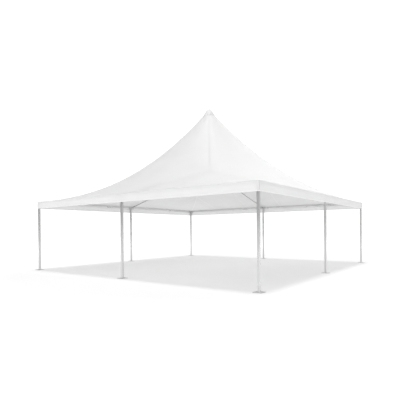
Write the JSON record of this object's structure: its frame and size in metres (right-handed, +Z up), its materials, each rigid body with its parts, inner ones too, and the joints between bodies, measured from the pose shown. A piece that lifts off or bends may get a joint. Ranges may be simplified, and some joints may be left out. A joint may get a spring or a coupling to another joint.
{
  "type": "high-peak frame marquee tent",
  "caption": "White square frame marquee with straight aluminium legs on foot plates, an open frame of eave rails and rafters, a stretched high-peak roof and a straight valance all round.",
  "frame": {"origin": "on the ground under the middle of the tent, at the foot plates' undersides", "axes": "+Z up, -Y towards the front side, +X towards the right side; the sides are alike"},
  "size_m": [9.3156, 9.3156, 6.2],
  "materials": {
    "leg_metal": "satin anodised aluminium tube",
    "rail_metal": "satin anodised aluminium tube",
    "rafter_metal": "satin anodised aluminium tube",
    "mast_metal": "satin anodised aluminium tube",
    "fitting_metal": "bare welded aluminium",
    "crown_metal": "bare welded aluminium",
    "foot_zinc": "zinc-coated steel plate",
    "roof_fabric": "white coated polyester, slightly see-through",
    "valance_fabric": "white coated polyester",
    "cap_fabric": "white coated polyester over a round plate"
  },
  "bodies": {
    "root": {"leg_corner_front_right": "leg_metal", "foot_plate_corner_front_right": "foot_zinc", "leg_middle_front": "leg_metal", "foot_plate_middle_front": "foot_zinc", "leg_corner_back_right": "leg_metal", "foot_plate_corner_back_right": "foot_zinc", "leg_middle_right": "leg_metal", "foot_plate_middle_right": "foot_zinc", "leg_corner_back_left": "leg_metal", "foot_plate_corner_back_left": "foot_zinc", "leg_middle_back": "leg_metal", "foot_plate_middle_back": "foot_zinc", "leg_corner_front_left": "leg_metal", "foot_plate_corner_front_left": "foot_zinc", "leg_middle_left": "leg_metal", "foot_plate_middle_left": "foot_zinc", "eave_rail_front_left": "rail_metal", "eave_rail_front_right": "rail_metal", "eave_rail_right_front": "rail_metal", "eave_rail_right_back": "rail_metal", "eave_rail_back_right": "rail_metal", "eave_rail_back_left": "rail_metal", "eave_rail_left_back": "rail_metal", "eave_rail_left_front": "rail_metal", "corner_fitting_front_right": "fitting_metal", "middle_fitting_front": "fitting_metal", "corner_fitting_back_right": "fitting_metal", "middle_fitting_right": "fitting_metal", "corner_fitting_back_left": "fitting_metal", "middle_fitting_back": "fitting_metal", "corner_fitting_front_left": "fitting_metal", "middle_fitting_left": "fitting_metal", "rafter_front": "rafter_metal", "rafter_right": "rafter_metal", "rafter_back": "rafter_metal", "rafter_left": "rafter_metal", "crown_fitting": "crown_metal", "mast": "mast_metal", "mast_cap": "cap_fabric", "roof_front": "roof_fabric", "roof_right": "roof_fabric", "roof_back": "roof_fabric", "roof_left": "roof_fabric", "valance_front": "valance_fabric", "valance_right": "valance_fabric", "valance_back": "valance_fabric", "valance_left": "valance_fabric"}
  },
  "joints": []
}
